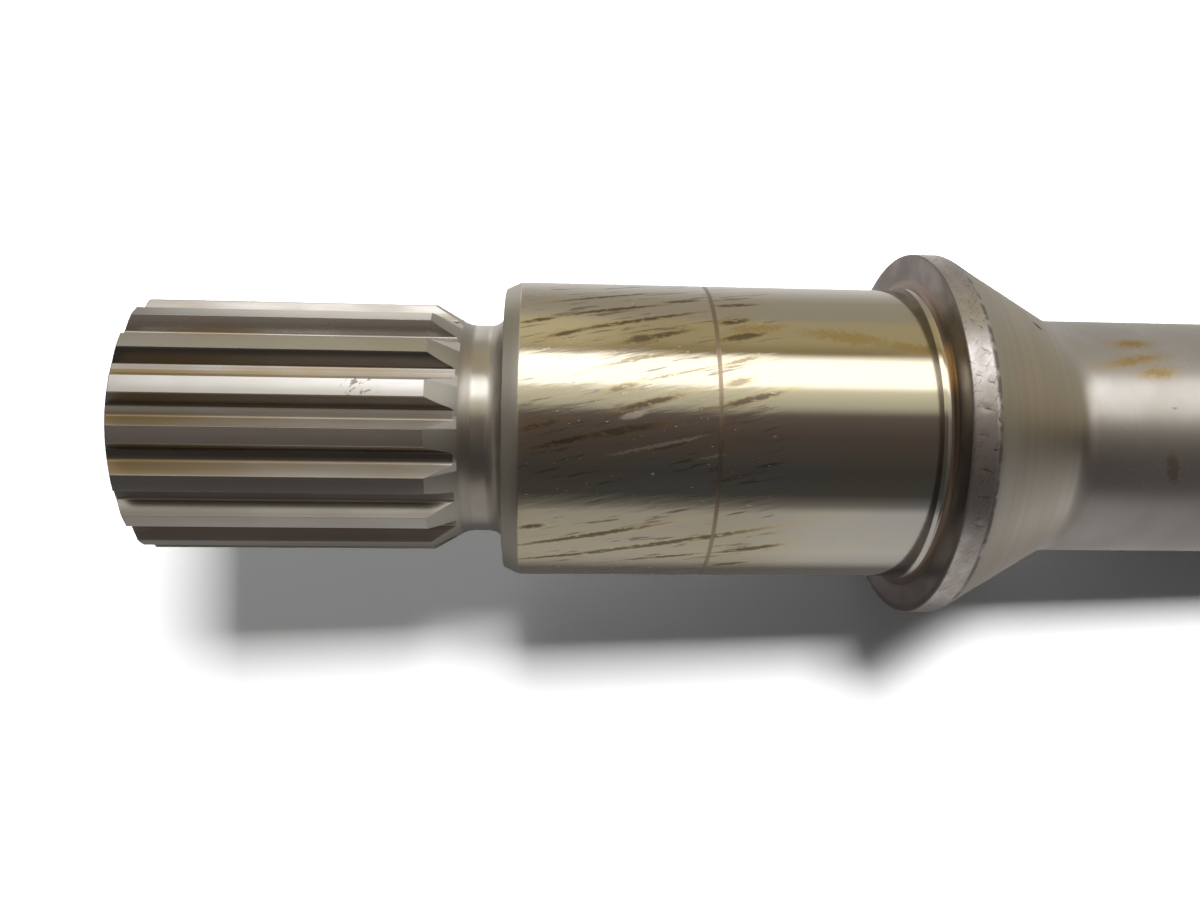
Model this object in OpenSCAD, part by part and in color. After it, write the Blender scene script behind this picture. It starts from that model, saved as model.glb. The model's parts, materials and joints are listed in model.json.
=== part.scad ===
// Pump drive shaft: splined drive end, relief groove, ground journal for the
// seal and the bearing, bearing shoulder, tapered back and plain neck.
// The shaft stands on its tail face, axis on Z, spline end up. Millimetres.

/* [Spline] */
// Number of spline teeth
teeth = 17; // [15:1:19]
// Pitch diameter of the spline: 17 teeth at 12 to the inch
pitch_d = 35.98; // [33:0.01:39]
// Pressure angle of the flanks in degrees
press_a = 30; // [27:1:33]
// Turned off the full outside diameter of the teeth
tip_cut = 0.5; // [0:0.02:0.6]
// Full teeth, from the start of the run-out to the end face
spline_l = 43.3; // [25:0.1:70]
// Length of the chamfer at the end face
end_ch_l = 1.2; // [0.5:0.1:3]
// How far the end chamfer goes below the tooth root
end_ch_drop = 0.3; // [0.1:0.05:1]
// Angle of the run-out at the back of the teeth, from the axis
runout_a = 30; // [20:1:45]

/* [Relief groove] */
// Depth of the groove below the tooth root
relief_h = 0.7; // [0.3:0.05:1.2]
// Length of the groove floor, before rounding
relief_l = 5.5; // [4:0.1:12]
// Fillet between groove floor and run-out
relief_run_r = 3.5; // [0.5:0.1:4]
// Fillet between groove floor and journal face
relief_face_r = 2.3; // [0.5:0.1:2.5]

/* [Journal] */
// Diameter of the ground journal
journal_d = 45; // [43:0.5:55]
// Length of the journal, from the shoulder to its end face
journal_l = 61.9; // [50:0.1:90]
// Length of the lead-in chamfer
journal_ch_l = 2.3; // [0.5:0.1:4]
// Height of the lead-in chamfer
journal_ch_h = 1.05; // [0.5:0.05:2.5]
// Fillet between journal and shoulder
shoulder_r = 1.6; // [0.5:0.1:2]
// Seal track, from the end face of the journal
track_pos = 29.7; // [20:0.1:40]
// Width of the track worn by the seal lip
track_w = 0.5; // [0.2:0.05:2]
// Depth of the track
track_h = 0.05; // [0.02:0.01:0.2]

/* [Collar] */
// Height of the bearing shoulder above the journal
shoulder_h = 5.55; // [3:0.05:8]
// Width of the collar's rim
collar_w = 3.7; // [2:0.05:10]
// Broken edge on both sides of the rim
collar_edge = 0.25; // [0.1:0.05:0.6]

/* [Tapered back] */
// Length of the first taper behind the collar, slightly the steeper
taper_l = 3.9; // [2:0.1:6]
// Angle of the first taper from the axis
taper_a = 30; // [25:1:40]
// Angle of the second taper from the axis
back_a = 29; // [25:1:40]
// Blend between second taper and neck
blend_r = 5; // [2:0.5:14]

/* [Neck] */
// Diameter of the neck
neck_d = 36.6; // [30:0.1:40]
// Length of the neck, from the tail face to the taper
neck_l = 53.6; // [30:0.1:150]
// Chamfer at the tail face
tail_ch = 1; // [0.4:0.1:3]

/* [Lathe centres] */
// Mouth diameter of the centre holes
centre_d = 8.5; // [6:0.1:12]
// Pilot diameter of the centre holes
centre_pilot_d = 4; // [2:0.1:5]
// Straight depth of the pilot below its cone
centre_pilot_l = 4.5; // [2:0.1:8]
// Full angle of the centre cone
centre_a = 60; // [60:15:90]

/* [Hidden] */
$fn = 96;
addendum_teeth = 1;
root_teeth = 1.35;
over = 1;
bite = 0.5;

// Spline section
tooth_d = pitch_d / teeth;
pitch_r = pitch_d / 2;
base_r = pitch_r * cos(press_a);
tip_r = (tooth_d * (teeth + addendum_teeth) - tip_cut) / 2;
root_r = tooth_d * (teeth - root_teeth) / 2;
flank_r = pitch_r * sin(press_a);
tooth_pitch = 360 / teeth;
flank_turn = press_a - tooth_pitch / 4;

// Radii along the axis
neck_r = neck_d / 2;
journal_r = journal_d / 2;
collar_r = journal_r + shoulder_h;
relief_r = root_r - relief_h;
end_r = root_r - end_ch_drop;
taper_r = collar_r - taper_l * tan(taper_a);

// Heights above the tail face
back_z = neck_l;
taper_z = back_z + (taper_r - neck_r) / tan(back_a);
collar_z = taper_z + taper_l;
shoulder_z = collar_z + collar_w;
face_z = shoulder_z + journal_l;
track_z = face_z - track_pos;
runout_z = face_z + relief_l;
teeth_z = runout_z + (tip_r - relief_r) / tan(runout_a);
end_z = teeth_z + spline_l;
centre_cone_l = (centre_d - centre_pilot_d) / 2 / tan(centre_a / 2);

// Fillet in the corner where a wall of radius r meets a taper that opens
// upwards from height z at angle a from the axis
module taper_fillet(r, z, a, fillet) {
    reach = fillet * tan(a / 2);
    difference() {
        polygon([
            [r - bite, z - reach],
            [r, z - reach],
            [r + reach * sin(a), z + reach * cos(a)],
            [r - bite, z + reach * cos(a)]
        ]);
        translate([r + fillet, z - reach]) circle(r = fillet);
    }
}

// Fillet in the square corner between a wall of radius r and the face at z
// below it
module face_fillet(r, z, fillet) {
    difference() {
        translate([r - bite, z - bite]) square(fillet + bite);
        translate([r + fillet, z + fillet]) circle(r = fillet);
    }
}

// Half section of the turned blank, teeth not yet cut
module blank_section() {
    difference() {
        union() {
            polygon([
                [0, 0],
                [neck_r - tail_ch, 0],
                [neck_r, tail_ch],
                [neck_r, back_z],
                [taper_r, taper_z],
                [collar_r - collar_edge, collar_z - collar_edge / tan(taper_a)],
                [collar_r, collar_z + collar_edge],
                [collar_r, shoulder_z - collar_edge],
                [collar_r - collar_edge, shoulder_z],
                [journal_r, shoulder_z],
                [journal_r, face_z - journal_ch_l],
                [journal_r - journal_ch_h, face_z],
                [relief_r, face_z],
                [relief_r, runout_z],
                [tip_r, teeth_z],
                [tip_r, end_z - end_ch_l],
                [end_r, end_z],
                [0, end_z]
            ]);
            taper_fillet(neck_r, back_z, back_a, blend_r);
            face_fillet(journal_r, shoulder_z, shoulder_r);
            face_fillet(relief_r, face_z, relief_face_r);
            taper_fillet(relief_r, runout_z, runout_a, relief_run_r);
        }
        translate([journal_r - track_h, track_z - track_w / 2]) square([over, track_w]);
    }
}

// One tooth in section: two circles that follow the involute flanks at the
// pitch circle
module tooth_section() {
    intersection() {
        rotate(flank_turn) translate([base_r, 0]) circle(r = flank_r);
        rotate(-flank_turn) translate([base_r, 0]) circle(r = flank_r);
    }
}

// All tooth gaps, from the groove to past the end face
module tooth_gaps() {
    translate([0, 0, face_z + relief_l / 2])
        linear_extrude(end_z - face_z)
            difference() {
                circle(r = tip_r + over);
                circle(r = root_r);
                for (i = [0 : teeth - 1]) rotate(i * tooth_pitch) tooth_section();
            }
}

// Lathe centre: cone and pilot, opening upwards at height 0
module lathe_centre() {
    rotate_extrude()
        polygon([
            [0, 0],
            [centre_d / 2, 0],
            [centre_pilot_d / 2, -centre_cone_l],
            [centre_pilot_d / 2, -centre_cone_l - centre_pilot_l],
            [0, -centre_cone_l - centre_pilot_l - centre_pilot_d / 2 * tan(centre_a / 2)]
        ]);
}

module shaft() {
    color([0.56, 0.53, 0.48])
        difference() {
            rotate_extrude() blank_section();
            tooth_gaps();
            translate([0, 0, end_z]) lathe_centre();
            mirror([0, 0, 1]) lathe_centre();
        }
}

shaft();
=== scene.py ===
import json
import math
import random

import bmesh
import bpy
from mathutils import Matrix, Vector

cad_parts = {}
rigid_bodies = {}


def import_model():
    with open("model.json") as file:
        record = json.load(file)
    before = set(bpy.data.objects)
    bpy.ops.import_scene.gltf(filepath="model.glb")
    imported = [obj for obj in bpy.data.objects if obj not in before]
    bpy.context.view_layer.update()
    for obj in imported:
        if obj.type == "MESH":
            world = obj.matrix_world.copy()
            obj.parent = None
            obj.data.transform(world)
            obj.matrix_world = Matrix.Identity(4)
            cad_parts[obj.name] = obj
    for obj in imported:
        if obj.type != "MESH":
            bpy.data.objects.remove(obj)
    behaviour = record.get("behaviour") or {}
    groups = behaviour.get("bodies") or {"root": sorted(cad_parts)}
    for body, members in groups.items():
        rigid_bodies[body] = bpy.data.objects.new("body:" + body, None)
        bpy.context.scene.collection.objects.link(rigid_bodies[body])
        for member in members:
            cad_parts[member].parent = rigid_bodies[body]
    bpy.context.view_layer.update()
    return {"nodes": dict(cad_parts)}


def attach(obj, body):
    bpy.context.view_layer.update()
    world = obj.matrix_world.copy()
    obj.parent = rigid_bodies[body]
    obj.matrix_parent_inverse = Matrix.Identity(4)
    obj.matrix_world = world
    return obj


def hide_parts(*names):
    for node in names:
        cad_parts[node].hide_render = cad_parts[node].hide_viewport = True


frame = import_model()
scene = bpy.context.scene
scene.view_settings.view_transform = "Standard"
mm = 0.001
micron = 0.001 * mm
print("frame loaded:", sorted(frame["nodes"]))


# Camera, at the place the shaft was photographed from: spline end to the left
photoCamera = {
    "place": (0.025867, -0.148473, 0.130619),
    "look": (-0.192206, 0.979683, -0.057250),
    "up": (0.981077, 0.193212, 0.012537),
    "lens": 28.85, "sensor": 36.0,  # millimetres
    "nearest": 0.005,
    "facing": -78.9,  # degrees round the axis, the ridge nearest the camera
}


def makeCamera(cfg):
    look = Vector(cfg["look"]).normalized()
    right = look.cross(Vector(cfg["up"])).normalized()
    up = right.cross(look)
    data = bpy.data.cameras.new("photoCamera")
    data.lens = cfg["lens"]
    data.sensor_width = cfg["sensor"]
    data.clip_start = cfg["nearest"]
    cam = bpy.data.objects.new("photoCamera", data)
    turn = Matrix((right, up, -look)).transposed().to_4x4()
    cam.matrix_world = Matrix.Translation(cfg["place"]) @ turn
    scene.collection.objects.link(cam)
    scene.camera = cam


makeCamera(photoCamera)
facing = math.radians(photoCamera["facing"])
print("camera placed")


# Shaft body, in millimetres and degrees, with the sizes of the part's source but for a few fine edges
shaftSizes = {
    "teeth": 17, "pitchD": 35.98, "pressA": 30.0, "tipCut": 0.5, "rootFactor": 1.35, "splineL": 43.3,
    "endChL": 1.2, "endChDrop": 0.3, "runoutA": 30.0,
    "reliefH": 0.7, "reliefL": 5.5, "reliefRunR": 3.5, "reliefFaceR": 2.3,
    "journalD": 45.0, "journalL": 61.9, "journalChL": 2.3, "journalChH": 1.05,
    "shoulderR": 1.6, "groundTo": 217.5,  # the grinding wheel reached this far into the fillet
    "trackPos": 29.7, "trackW": 0.6, "trackH": 0.05,
    "trackShape": [(1.0, 0.0), (0.5, 0.8), (0.0, 1.0), (-0.5, 0.8)],  # shares of half width and depth
    "shoulderH": 5.55, "collarW": 3.7, "collarEdge": 0.25,
    "taperL": 3.9, "taperA": 30.0, "backA": 29.0, "blendR": 7.0,
    "neckD": 36.6, "neckL": 53.6, "tailCh": 1.0,
    "centreD": 8.5, "pilotD": 4.0, "pilotL": 4.5, "centreA": 60.0,
    "tipBreak": 0.02, "edgeBreak": 0.12, "rootFillet": 0.4, "creaseA": 25.0,
    "weld": 0.0001,  # points nearer than this are one
    "columns": {"flank": 4, "fillet": 4},  # of half a tooth
    "rings": {
        "centre": 2, "endFace": 5, "endChamfer": 3, "flank": 8, "runout": 4, "runFillet": 5, "floor": 7,
        "faceFillet": 9, "face": 3, "chamfer": 2, "journal": 7, "ground": 5, "shoulderFillet": 7,
        "shoulder": 4, "rimEdge": 3, "rim": 15, "rimBack": 2, "taper": 4, "back": 5, "blend": 8,
        "neck": 8, "tail": 4,
    },
}
finishes = ["endFace", "spline", "groove", "journal", "shoulder", "rim", "neck"]


def tanD(a):
    return math.tan(math.radians(a))


def workOut(s):
    # radii and heights above the tail face
    toothD = s["pitchD"] / s["teeth"]
    d = {"pitchR": s["pitchD"] / 2}
    d["baseR"] = d["pitchR"] * math.cos(math.radians(s["pressA"]))
    d["flankR"] = d["pitchR"] * math.sin(math.radians(s["pressA"]))
    d["tipR"] = (toothD * (s["teeth"] + 1) - s["tipCut"]) / 2
    d["rootR"] = toothD * (s["teeth"] - s["rootFactor"]) / 2
    d["flankTurn"] = s["pressA"] - 90.0 / s["teeth"]
    d["neckR"] = s["neckD"] / 2
    d["journalR"] = s["journalD"] / 2
    d["collarR"] = d["journalR"] + s["shoulderH"]
    d["reliefR"] = d["rootR"] - s["reliefH"]
    d["endR"] = d["rootR"] - s["endChDrop"]
    d["taperR"] = d["collarR"] - s["taperL"] * tanD(s["taperA"])
    d["taperZ"] = s["neckL"] + (d["taperR"] - d["neckR"]) / tanD(s["backA"])
    d["collarZ"] = d["taperZ"] + s["taperL"]
    d["shoulderZ"] = d["collarZ"] + s["collarW"]
    d["faceZ"] = d["shoulderZ"] + s["journalL"]
    d["trackZ"] = d["faceZ"] - s["trackPos"]
    d["runoutZ"] = d["faceZ"] + s["reliefL"]
    d["teethZ"] = d["runoutZ"] + (d["tipR"] - d["reliefR"]) / tanD(s["runoutA"])
    d["endZ"] = d["teethZ"] + s["splineL"]
    d["coneL"] = (s["centreD"] - s["pilotD"]) / 2 / tanD(s["centreA"] / 2)
    return d


size = workOut(shaftSizes)


def flankAngle(r):
    # degrees from the tooth's centre line to its flank at radius r
    b, f = size["baseR"], size["flankR"]
    c = (r * r + b * b - f * f) / (2 * r * b)
    return math.degrees(math.acos(c)) - size["flankTurn"]


def toothOutline(s):
    # radius and angle of every column over one tooth and the gap after it
    tip, root = size["tipR"], size["rootR"]
    pitch = 360.0 / s["teeth"]
    land = flankAngle(tip) - math.degrees(s["tipBreak"] / tip)
    half = [(tip, 0.0), (tip, land * 0.5), (tip, land)]
    # round the gap's bottom: the flank leans by the pressure angle it has at the root
    lean = math.acos(size["baseR"] / root)
    turn = math.pi / 2 - lean
    reach = s["rootFillet"] * math.tan(turn / 2)
    low, high = root + reach * math.cos(lean), tip - s["tipBreak"]
    steps = s["columns"]["flank"]
    for k in range(steps + 1):
        r = high + (low - high) * k / steps
        half.append((r, flankAngle(r)))
    steps = s["columns"]["fillet"]
    for k in range(1, steps + 1):
        a = turn * (1 - k / steps)
        rise, side = s["rootFillet"] * (1 - math.cos(a)), reach - s["rootFillet"] * math.sin(a)
        half.append((root + rise, flankAngle(root) + math.degrees(side / root)))
    half += [(root, (half[-1][1] + pitch / 2) / 2), (root, pitch / 2)]
    return half + [(r, pitch - a) for r, a in half[-2:0:-1]]


def straight(rows, finish, z0, r0, z1, r1, steps=1, even=1.0):
    # even is 0 where the columns keep to the teeth and 1 where they are evenly spread
    for k in range(steps):
        t = k / steps
        rows.append({"finish": finish, "z": z0 + (z1 - z0) * t,
                     "r": r0 + (r1 - r0) * t, "even": even})


def fillet(rows, finish, z, r, radius, a0, a1, steps, even=1.0):
    # arc round the centre z, r, angles in degrees from the outward direction
    for k in range(steps):
        a = math.radians(a0 + (a1 - a0) * k / steps)
        rows.append({"finish": finish, "z": z + radius * math.sin(a),
                     "r": r + radius * math.cos(a), "even": even})


def shaftRows(s):
    # every ring of the shaft from the spline's lathe centre down to the tail's
    d, n, rows = size, s["rings"], []
    endZ, eb, edge = d["endZ"], s["edgeBreak"], s["collarEdge"]
    centreR, pilotR = s["centreD"] / 2, s["pilotD"] / 2
    pilotTop = endZ - d["coneL"]
    pilotLow = pilotTop - s["pilotL"]
    drillZ = pilotLow - pilotR * tanD(s["centreA"] / 2)
    straight(rows, "endFace", drillZ, 0, pilotLow, pilotR, even=0)
    straight(rows, "endFace", pilotLow, pilotR, pilotTop, pilotR, even=0)
    straight(rows, "endFace", pilotTop, pilotR, endZ, centreR, n["centre"], 0)
    straight(rows, "endFace", endZ, centreR, endZ, d["endR"], n["endFace"], 0)
    for k in range(n["endChamfer"]):
        rows.append({"finish": "spline", "cut": "chamfer", "share": k / n["endChamfer"]})
    for k in range(n["flank"] + 1):
        rows.append({"finish": "spline", "cut": "flank", "share": k / n["flank"]})
    for k in range(1, n["runout"]):
        rows.append({"finish": "spline", "cut": "runout", "share": k / n["runout"]})
    for row in rows:  # the blank is at the tips here
        if "cut" in row:
            row["r"], row["z"] = toothPlace(row, d["tipR"], s)
    # relief groove: fillet off the run-out, floor, fillet up to the journal's face
    runR, faceR = s["reliefRunR"], s["reliefFaceR"]
    floorTop, floorLow = d["runoutZ"] - runR * tanD(s["runoutA"] / 2), d["faceZ"] + faceR
    fillet(rows, "groove", floorTop, d["reliefR"] + runR, runR, 180 - s["runoutA"], 180, n["runFillet"], 0.0)
    for k in range(n["floor"]):  # the columns even out along the floor
        rows.append({"finish": "groove", "r": d["reliefR"], "even": k / n["floor"],
                     "z": floorTop + (floorLow - floorTop) * k / n["floor"]})
    fillet(rows, "groove", floorLow, d["reliefR"] + faceR, faceR, 180, 270, n["faceFillet"])
    chR = d["journalR"] - s["journalChH"]
    straight(rows, "groove", d["faceZ"], d["reliefR"] + faceR, d["faceZ"], chR - eb, n["face"])
    # journal: face, chamfer, ground stretch with the seal's track, fillet
    slip = eb * s["journalChH"] / s["journalChL"]
    chZ = d["faceZ"] - s["journalChL"]
    straight(rows, "journal", d["faceZ"], chR - eb, d["faceZ"] - eb, chR + slip)
    straight(rows, "journal", d["faceZ"] - eb, chR + slip, chZ + eb, d["journalR"] - slip, n["chamfer"])
    straight(rows, "journal", chZ + eb, d["journalR"] - slip, chZ - eb, d["journalR"])
    half = s["trackW"] / 2
    straight(rows, "journal", chZ - eb, d["journalR"], d["trackZ"] + half, d["journalR"], n["journal"])
    for z, deep in s["trackShape"]:
        rows.append({"finish": "journal", "z": d["trackZ"] + z * half,
                     "r": d["journalR"] - deep * s["trackH"], "even": 1.0})
    foot, filletR = d["shoulderZ"] + s["shoulderR"], d["journalR"] + s["shoulderR"]
    straight(rows, "journal", d["trackZ"] - half, d["journalR"], foot, d["journalR"], n["journal"])
    fillet(rows, "journal", foot, filletR, s["shoulderR"], 180, s["groundTo"], n["ground"])
    fillet(rows, "shoulder", foot, filletR, s["shoulderR"], s["groundTo"], 270, n["shoulderFillet"])
    straight(rows, "shoulder", d["shoulderZ"], filletR, d["shoulderZ"], d["collarR"] - edge, n["shoulder"])
    # rim with both edges broken
    fillet(rows, "rim", d["shoulderZ"] - edge, d["collarR"] - edge, edge, 90, 0, n["rimEdge"])
    straight(rows, "rim", d["shoulderZ"] - edge, d["collarR"], d["collarZ"] + edge, d["collarR"], n["rim"])
    lowZ = d["collarZ"] - edge / tanD(s["taperA"])
    straight(rows, "rim", d["collarZ"] + edge, d["collarR"], lowZ, d["collarR"] - edge, n["rimBack"])
    # two tapers, blend and neck
    straight(rows, "neck", lowZ, d["collarR"] - edge, d["taperZ"], d["taperR"], n["taper"])
    backA = math.radians(s["backA"])
    reach = s["blendR"] * math.tan(backA / 2)
    blendZ, blendR = s["neckL"] + reach * math.cos(backA), d["neckR"] + reach * math.sin(backA)
    straight(rows, "neck", d["taperZ"], d["taperR"], blendZ, blendR, n["back"])
    neckZ = s["neckL"] - reach
    fillet(rows, "neck", neckZ, d["neckR"] + s["blendR"], s["blendR"], 180 - s["backA"], 180, n["blend"])
    straight(rows, "neck", neckZ, d["neckR"], s["tailCh"] + eb, d["neckR"], n["neck"])
    straight(rows, "neck", s["tailCh"] + eb, d["neckR"], s["tailCh"] - eb, d["neckR"] - eb)
    straight(rows, "neck", s["tailCh"] - eb, d["neckR"] - eb, 0, d["neckR"] - s["tailCh"])
    # tail face and its lathe centre
    straight(rows, "endFace", 0, d["neckR"] - s["tailCh"], 0, centreR, n["tail"])
    straight(rows, "endFace", 0, centreR, d["coneL"], pilotR, n["centre"])
    straight(rows, "endFace", d["coneL"], pilotR, d["coneL"] + s["pilotL"], pilotR)
    straight(rows, "endFace", d["coneL"] + s["pilotL"], pilotR, endZ - drillZ, 0)
    rows.append({"finish": "endFace", "z": endZ - drillZ, "r": 0.0, "even": 1.0})
    return rows


# Knocks on the collar's rim: degrees below the ridge that faces the camera,
# height, length, width, slant in degrees, depth
rimKnocks = {
    "seen": [
        (-47.0, 71.9, 1.4, 0.5, -32, 0.10), (-32.4, 73.2, 1.1, 0.5, -54, 0.10),
        (-30.0, 72.2, 1.0, 0.5, -51, 0.08), (-22.8, 72.3, 1.2, 0.5, -62, 0.10),
        (-18.9, 74.5, 1.1, 0.4, -61, 0.12), (-14.9, 73.6, 1.3, 0.5, -65, 0.10),
        (-13.1, 72.0, 1.3, 0.5, -60, 0.08), (-10.0, 71.0, 1.1, 0.5, -33, 0.15),
        (-6.0, 73.0, 2.6, 0.6, -79, 0.12), (-2.7, 71.1, 1.1, 0.5, -36, 0.15),
        (1.2, 73.3, 1.9, 0.4, -83, 0.08), (5.2, 71.6, 1.1, 0.4, -77, 0.08),
        (10.7, 72.8, 1.7, 0.5, -73, 0.10), (18.2, 72.5, 1.9, 0.5, -82, 0.10),
        (26.9, 72.5, 1.9, 0.5, -77, 0.10), (42.0, 74.7, 1.6, 0.5, -41, 0.18),
    ],
    "others": 26, "seed": 5,  # round the rest of the rim, within the ranges below
    "ranges": [(65, 300), (71.3, 74.5), (0.9, 2.0), (0.4, 0.6), (-85, -30), (0.06, 0.16)],
    "farthest": 2.0, "soft": 0.25, "depthShare": 0.4,
}


def allKnocks(cfg):
    rnd = random.Random(cfg["seed"])
    others = [tuple(rnd.uniform(*ends) for ends in cfg["ranges"]) for _ in range(cfg["others"])]
    return cfg["seen"] + others


knocks = allKnocks(rimKnocks)


def knockDepth(phi, z, cfg):
    deep = 0.0
    for at, height, length, width, slant, depth in knocks:
        du = math.radians((phi - at + 180) % 360 - 180) * size["collarR"]
        dv = z - height
        if max(abs(du), abs(dv)) > cfg["farthest"]:
            continue
        c, s = math.cos(math.radians(slant)), math.sin(math.radians(slant))
        along, across = (du * c + dv * s) / (length / 2), (-du * s + dv * c) / (width / 2 + cfg["soft"])
        near = 1 - min(1.0, math.hypot(along, across))
        deep = max(deep, depth * cfg["depthShare"] * near * near * (3 - 2 * near))
    return deep


def turnBlank(bm, rows, columns):
    # lathe the half section round the axis, one point of it a ring
    ringOf = bm.verts.layers.int.new("ring")
    section = []
    for k, row in enumerate(rows):
        v = bm.verts.new(Vector((row["r"], 0, row["z"])) * mm)
        v[ringOf] = k
        section.append(v)
    edges = [bm.edges.new(pair) for pair in zip(section, section[1:])]
    bmesh.ops.spin(bm, geom=section + edges, axis=(0, 0, 1), cent=(0, 0, 0),
                   angle=2 * math.pi, steps=columns, use_merge=True)
    return ringOf


def toothPlace(row, toothR, s):
    # radius and height on the tooth's surface, for a ring of the spline
    d, t = size, row["share"]
    top = d["endZ"] - (toothR - d["endR"]) / (d["tipR"] - d["endR"]) * s["endChL"]
    low = d["runoutZ"] + (toothR - d["reliefR"]) / tanD(s["runoutA"])
    if row["cut"] == "chamfer":
        return d["endR"] + (toothR - d["endR"]) * t, d["endZ"] + (top - d["endZ"]) * t
    if row["cut"] == "flank":
        return toothR, top + (low - top) * t
    foot = s["reliefRunR"] * tanD(s["runoutA"] / 2) * math.sin(math.radians(s["runoutA"]))
    r = toothR + (d["reliefR"] + foot - toothR) * t
    return r, d["runoutZ"] + (r - d["reliefR"]) / tanD(s["runoutA"])


def cutTeeth(bm, ringOf, rows, outline, s):
    # press the gaps into the spline's rings and the knocks into the rim
    per = len(outline)
    columns = per * s["teeth"]
    for v in bm.verts:
        row = rows[v[ringOf]]
        if row.get("r") == 0:
            continue
        evenA = math.degrees(math.atan2(v.co.y, v.co.x)) % 360
        column = round(evenA / 360 * columns) % columns
        evenA = 360 * column / columns
        toothR, toothA = outline[column % per]
        toothA += column // per * 360 / s["teeth"]
        if "cut" in row:
            r, z = toothPlace(row, toothR, s)
            a = toothA
        else:
            r, z = row["r"], row["z"]
            a = toothA + (evenA - toothA) * row["even"]
            if row["finish"] == "rim":
                r -= knockDepth(math.degrees(facing) - a, z, rimKnocks)
        a = math.radians(a)
        v.co = Vector((r * math.cos(a), r * math.sin(a), z)) * mm


def makeShaft(cfg):
    outline = toothOutline(cfg)
    columns = len(outline) * cfg["teeth"]
    rows = shaftRows(cfg)
    bm = bmesh.new()
    ringOf = turnBlank(bm, rows, columns)
    cutTeeth(bm, ringOf, rows, outline, cfg)
    for face in bm.faces:  # finish of the ring that the face starts from
        first = min(v[ringOf] for v in face.verts)
        face.material_index = finishes.index(rows[first]["finish"])
        face.smooth = True
    bm.verts.layers.int.remove(ringOf)
    bmesh.ops.remove_doubles(bm, verts=bm.verts, dist=cfg["weld"] * mm)
    bmesh.ops.recalc_face_normals(bm, faces=bm.faces)
    for e in bm.edges:
        e.smooth = e.calc_face_angle(0.0) < math.radians(cfg["creaseA"])
    mesh = bpy.data.meshes.new("shaftBody")
    bm.to_mesh(mesh)
    bm.free()
    body = bpy.data.objects.new("shaftBody", mesh)
    scene.collection.objects.link(body)
    even = body.modifiers.new("evenNormals", "WEIGHTED_NORMAL")
    even.keep_sharp = True
    print("shaft body:", columns, "columns,", len(rows), "rings,", len(mesh.polygons), "faces")
    return body


shaftBody = makeShaft(shaftSizes)
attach(shaftBody, "root")
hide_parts("shaft")


# Finishes. Small helpers first: put a node, and the few sums that all finishes share
def put(tree, kind, sockets=None, **settings):
    node = tree.nodes.new("ShaderNode" + kind)
    for key, value in settings.items():
        setattr(node, key, value)
    for key, value in (sockets or {}).items():
        if isinstance(value, bpy.types.NodeSocket):
            tree.links.new(value, node.inputs[key])
        else:
            node.inputs[key].default_value = value
    return node


def calc(look, operation, a, b=0.0):
    return put(look["tree"], "Math", {0: a, 1: b}, operation=operation).outputs[0]


def times(look, a, b):
    return calc(look, "MULTIPLY", a, b)


def softStep(look, value, low, high, out=(0.0, 1.0)):
    sockets = {"Value": value, "From Min": low, "From Max": high, "To Min": out[0], "To Max": out[1]}
    return put(look["tree"], "MapRange", sockets, interpolation_type="SMOOTHSTEP").outputs[0]


def between(look, value, low, high, soft):
    # 1 from low to high, with soft ends
    return times(look, softStep(look, value, low - soft, low + soft),
                 softStep(look, value, high - soft, high + soft, (1.0, 0.0)))


def roundSpan(look, low, high, soft):
    # the same round the shaft: degrees below the camera's ridge, soft ends in radians
    return between(look, look["down"], math.radians(low), math.radians(high), soft)


def grain(look, stretch, detail, twist=0.0):
    # noise with a number of waves to the millimetre along x, y and z
    tree, point = look["tree"], look["point"]
    if twist:  # radians a millimetre, for lines that climb round the shaft
        sockets = {"Vector": point, "Angle": times(look, look["z"], twist)}
        point = put(tree, "VectorRotate", sockets, rotation_type="Z_AXIS").outputs[0]
    mapped = put(tree, "Mapping", {"Vector": point, "Scale": stretch}).outputs[0]
    return put(tree, "TexNoise", {"Vector": mapped, "Scale": 1.0, "Detail": detail}).outputs["Fac"]


def patches(look, stretch, detail, low, high, twist=0.0):
    # noise cut to patches, none below low and full above high
    return softStep(look, grain(look, stretch, detail, twist), low, high)


def mixIn(look, share, below, above):
    node = put(look["tree"], "Mix", data_type="RGBA")
    # share and the two colours go by number, since the node repeats their names
    for socket, value in ((node.inputs[0], share), (node.inputs[6], below), (node.inputs[7], above)):
        if isinstance(value, bpy.types.NodeSocket):
            look["tree"].links.new(value, socket)
        else:
            socket.default_value = value if isinstance(value, float) else (*value, 1)
    return node.outputs[2]


def lay(look, mask, colour, rough=None, most=1.0):
    # a stain, film, scuff, painted shade or painted light over what is there
    if most != 1.0:
        mask = times(look, mask, most)
    look["colour"] = mixIn(look, mask, look["colour"], colour)
    if rough is not None:
        gap = calc(look, "SUBTRACT", rough, look["rough"])
        look["rough"] = calc(look, "ADD", look["rough"], times(look, mask, gap))


def press(look, value, microns):
    # add to the height that the bump reads
    look["height"] = calc(look, "ADD", look["height"], times(look, value, microns))


markEdges = {"waves": 1.3, "detail": 3.0, "farAway": 100.0, "fade": (1.15, 0.55)}


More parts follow.
